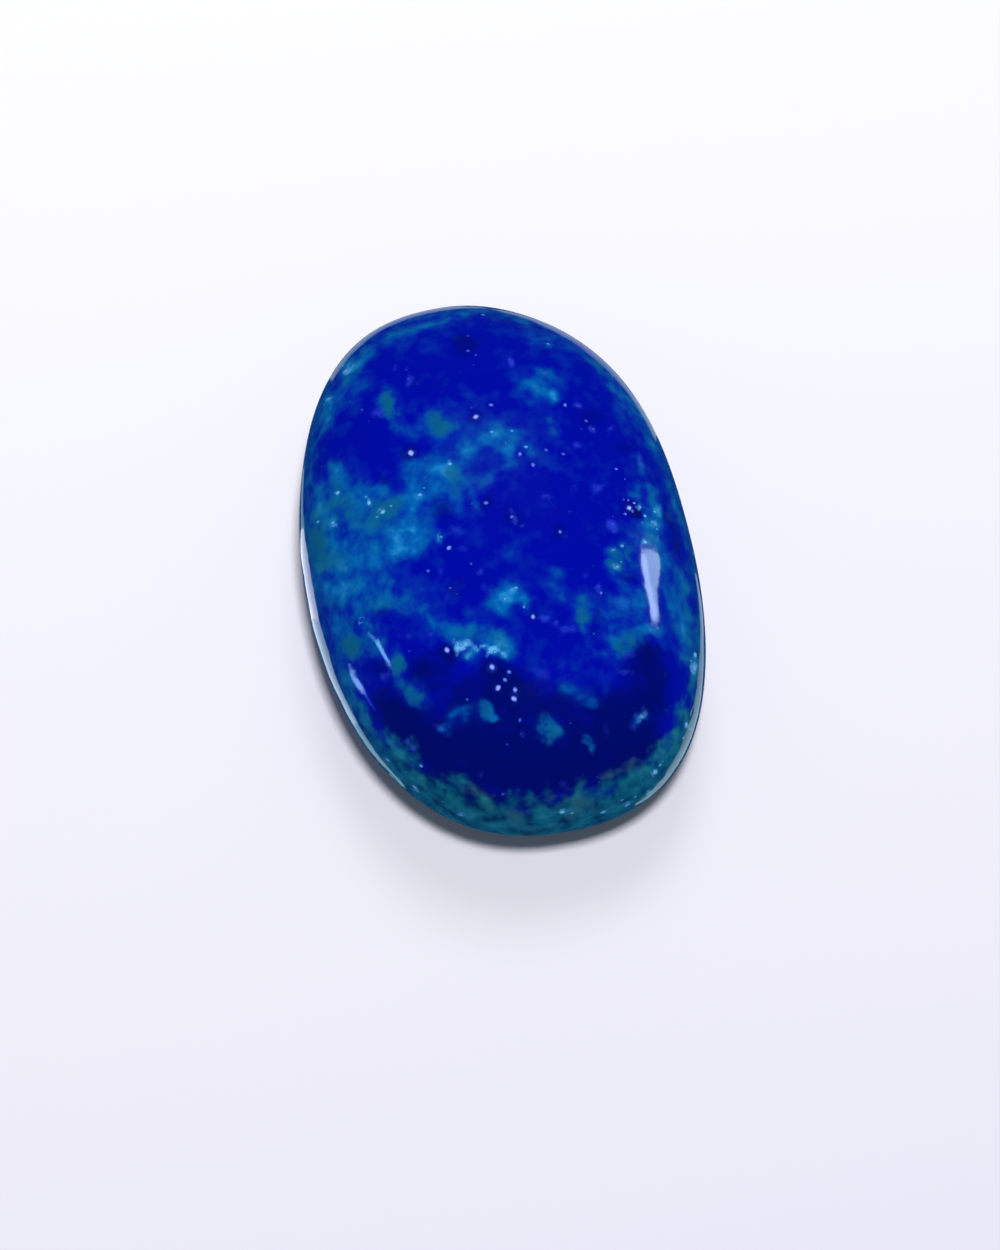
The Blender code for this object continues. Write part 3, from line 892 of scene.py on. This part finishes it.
def grain_finish(name, edge_glow, middle_glow, speckle_size, shades):
    """A grain's colour with a painted glint: brightest where it stands proud, mottled, and duller on
    small grains.
    """
    finish, recipe, shade = new_material(name)
    place = recipe.node("ShaderNodeTexCoord", output="Object")
    shine = recipe.node("ShaderNodeAttribute", {"attribute_name": "shine"}, None, "Fac")
    core = recipe.node("ShaderNodeAttribute", {"attribute_name": "core"}, None, "Fac")
    # Painted highlight: the colour is lightest on the grain's top and on grains with a stronger painted
    # glint.
    glow = shine * (edge_glow + core * core * middle_glow) + (place.grain(speckle_size, 2) - 0.5) * 0.3
    glow.ramp(*shades).feeds(shade.inputs["Base Color"])
    shade.inputs["Roughness"].default_value = GRAIN_ROUGHNESS
    return finish, shade


pyrite, metal = grain_finish("pyrite", 0.10, 0.95, 0.12 * MM, PYRITE_SHADES)
metal.inputs["Metallic"].default_value = PYRITE_METALLIC
plant("pyrite_flecks", flecks["pyrite"], pyrite)
calcite, _ = grain_finish("calcite", 0.15, 0.9, 0.10 * MM, CALCITE_SHADES)
plant("calcite_flecks", flecks["calcite"], calcite)

# Table and light. A pale table under a soft lamp, with a weaker one behind the stone. The table's
# colour darkens towards the camera as painted light falloff.
# What the polish mirrors is kept apart: a dim blue room, and a few glowing cards whose corners
# are placed where the stone mirrors them into the camera at these pixels.
TABLE_HALF = 1.5
# Painted shade: the table is paler far off and darker near the camera, in place of the lamps' falloff.
TABLE_FAR = (0.905, 0.895, 0.930, 1)
TABLE_NEAR = (0.745, 0.725, 0.830, 1)
TABLE_FADE = 36 * MM  # from the middle to the far and near ends of the fade
ROOM_GLOW = (0.145, 0.16, 0.158, 1)
ROOM_IN_GLOSS = (0.008, 0.075, 0.200, 1)
BACKDROP = (0.87, 0.86, 0.91, 1)
OVERHEAD_DISTANCE = 0.6
OVERHEAD_SIZE = 0.08
OVERHEAD_RADIANCE = 140
BEHIND_DISTANCE = 0.5
BEHIND_SIZE = 0.18
BEHIND_RADIANCE = 5.5
WINDOW_DISTANCE = 0.30
FRAME_DISTANCE = 0.25  # nearer than the window, so that it hides part of it
RIM_DISTANCE = 0.06  # a stone's side mirrors what stands close to it
away_from_camera = Vector((-towards_camera.x, -towards_camera.y, 0)).normalized()

table_material, recipe, matt = new_material("pale_table")
place = recipe.node("ShaderNodeTexCoord", output="Object")
along = recipe.node("ShaderNodeSeparateXYZ", None, {0: place}, "Y")
share = recipe.node("ShaderNodeMapRange", None, {0: along, 1: -TABLE_FADE, 2: TABLE_FADE})
share.ramp((0, TABLE_NEAR), (1, TABLE_FAR)).feeds(matt.inputs["Base Color"])
matt.inputs["Roughness"].default_value = 0.9
matt.inputs["Specular IOR Level"].default_value = 0.0
table_mesh = bpy.data.meshes.new("table")
sheet = bmesh.new()
bmesh.ops.create_grid(sheet, size=TABLE_HALF)
sheet.to_mesh(table_mesh)
sheet.free()
table_mesh.materials.append(table_material)
table = bpy.data.objects.new("table", table_mesh)
table.visible_glossy = False
bpy.context.scene.collection.objects.link(table)

world = bpy.data.worlds.new("studio")
world.use_nodes = True
bpy.context.scene.world = world
room = Recipe(world.node_tree)
is_glossy = room.node("ShaderNodeLightPath", output="Is Glossy Ray")
is_camera = room.node("ShaderNodeLightPath", output="Is Camera Ray")
glow = is_glossy.ramp((0, ROOM_GLOW), (1, ROOM_IN_GLOSS)).stained(is_camera, BACKDROP)
glow.feeds(room.tree.nodes["Background"].inputs["Color"])


def lamp(name, place, size, radiance):
    """A square soft lamp that faces the stone, and that its polish doesn't mirror."""
    light = bpy.data.lights.new(name, "AREA")
    light.size = size
    light.energy = radiance * size * size * math.pi
    made = bpy.data.objects.new(name, light)
    made.location = place
    made.rotation_euler = (-place).to_track_quat("-Z", "Y").to_euler()
    made.visible_camera = False
    made.visible_glossy = False
    bpy.context.scene.collection.objects.link(made)


overhead = Vector((0, 0, 1)) + view_right * 0.05 - away_from_camera * 0.145
behind = Vector((0, 0, 1.6)) + away_from_camera + view_right * 0.05
lamp("overhead", overhead.normalized() * OVERHEAD_DISTANCE, OVERHEAD_SIZE, OVERHEAD_RADIANCE)
lamp("behind", behind.normalized() * BEHIND_DISTANCE, BEHIND_SIZE, BEHIND_RADIANCE)


def card(name, corners, distance, strength, glow_colour, faces=None):
    """A glowing card that the stone mirrors into the camera between these corner pixels."""
    spots = []
    for across, down in corners:
        spot, outward = landing(across, down)
        ray = sight_line(across, down)
        spots.append(spot + (ray - 2 * ray.dot(outward) * outward) * distance)
    mesh = bpy.data.meshes.new(name)
    mesh.from_pydata(spots, [], faces or [range(len(spots))])
    material = bpy.data.materials.new(name)
    material.use_nodes = True
    shade = material.node_tree.nodes["Principled BSDF"]
    shade.inputs["Base Color"].default_value = (0, 0, 0, 1)
    shade.inputs["Specular IOR Level"].default_value = 0
    shade.inputs["Emission Color"].default_value = glow_colour
    shade.inputs["Emission Strength"].default_value = strength
    mesh.materials.append(material)
    made = bpy.data.objects.new(name, mesh)
    made.visible_camera = False
    made.visible_diffuse = False
    made.visible_shadow = False
    bpy.context.scene.collection.objects.link(made)


def strip(name, line, distance, strength, glow_colour):
    """A card as a ribbon, given by pixels of its middle line and its breadth at each."""
    corners = []
    for here, (across, down, breadth) in enumerate(line):
        before = line[max(here - 1, 0)]
        after = line[min(here + 1, len(line) - 1)]
        run = Vector((after[0] - before[0], after[1] - before[1])).normalized() * breadth / 2
        corners += [(across - run.y, down + run.x), (across + run.y, down - run.x)]
    faces = [(k, k + 1, k + 3, k + 2) for k in range(0, len(corners) - 2, 2)]
    card(name, corners, distance, strength, glow_colour, faces)


WINDOW = (
    (642, 548), (653, 547), (658, 552), (660, 560), (659, 575), (657, 590), (658, 603), (660, 618),
    (656, 623), (651, 618), (649, 600), (645, 583), (641, 563), (640, 555),
)
WINDOW_FRAME = (
    (641, 556), (644, 553), (648, 560), (650, 580), (655, 600), (658, 616), (653, 620), (650, 605),
    (646, 585), (643, 568),
)
UPPER_SLIT_TIP = ((368, 635), (370, 634), (377, 641), (375, 644))
UPPER_SLIT = ((375, 644), (378, 641), (385, 651), (391, 663), (389, 665), (386, 661))
LOWER_SLIT = ((350, 672), (352, 672), (357, 678), (364, 690), (362, 692), (355, 684))
LOWER_SLIT_TAIL = ((362, 692), (364, 691), (375, 708), (374, 709))
LEFT_EDGE_TIP = ((303.5, 470, 1), (302, 500, 2), (303, 530, 3.5))
LEFT_EDGE_TOP = ((301.5, 530, 5), (303.5, 555, 9), (305.5, 575, 11), (309.8, 600, 11), (315.6, 625, 9.5))
LEFT_EDGE = ((315.6, 625, 9.5), (323, 650, 9), (331, 675, 8), (342, 700, 7), (356, 725, 5))
LEFT_EDGE_TAIL = ((356, 725, 5), (372, 750, 4), (388.5, 770, 3), (404.5, 787, 1.5))
RIGHT_EDGE = (
    (696, 575, 1.5), (701, 610, 2.5), (702, 650, 3.5), (700, 680, 5), (695.5, 710, 6.5), (688.5, 735, 7),
    (680, 755, 6), (669.5, 772, 5.5), (657.5, 787, 4.5), (646, 798, 3), (635, 805, 1.5),
)
FAR_EDGE = (
    (329, 380), (351, 350), (395, 320), (440, 308), (490, 304), (538, 320), (591, 350), (633, 395),
    (659, 440), (656, 442), (631, 398), (588, 354), (536, 323), (490, 307), (441, 311), (397, 323),
    (354, 352), (332, 382),
)
card("window", WINDOW, WINDOW_DISTANCE, 10, (0.62, 0.90, 1.0, 1))
card("window_frame", WINDOW_FRAME, FRAME_DISTANCE, 19, (0.54, 0.75, 1.0, 1))
card("upper_slit_tip", UPPER_SLIT_TIP, WINDOW_DISTANCE, 7, (0.15, 0.62, 1.0, 1))
card("upper_slit", UPPER_SLIT, WINDOW_DISTANCE, 17, (0.22, 0.65, 1.0, 1))
card("lower_slit", LOWER_SLIT, WINDOW_DISTANCE, 16, (0.26, 0.50, 1.0, 1))
card("lower_slit_tail", LOWER_SLIT_TAIL, WINDOW_DISTANCE, 7, (0.04, 0.12, 1.0, 1))
strip("left_edge_tip", LEFT_EDGE_TIP, RIM_DISTANCE, 0.8, (0.50, 0.82, 1.0, 1))
strip("left_edge_top", LEFT_EDGE_TOP, RIM_DISTANCE, 2.2, (0.78, 0.88, 1.0, 1))
strip("left_edge", LEFT_EDGE, RIM_DISTANCE, 1.6, (0.64, 0.85, 1.0, 1))
strip("left_edge_tail", LEFT_EDGE_TAIL, RIM_DISTANCE, 1.1, (0.48, 0.84, 1.0, 1))
strip("right_edge", RIGHT_EDGE, RIM_DISTANCE, 1.1, (0.65, 0.88, 1.0, 1))
card("far_edge", FAR_EDGE, RIM_DISTANCE, 0.8, (0.60, 0.82, 1.0, 1))

bpy.context.scene.view_settings.view_transform = "Standard"
bpy.context.scene.view_settings.look = "None"
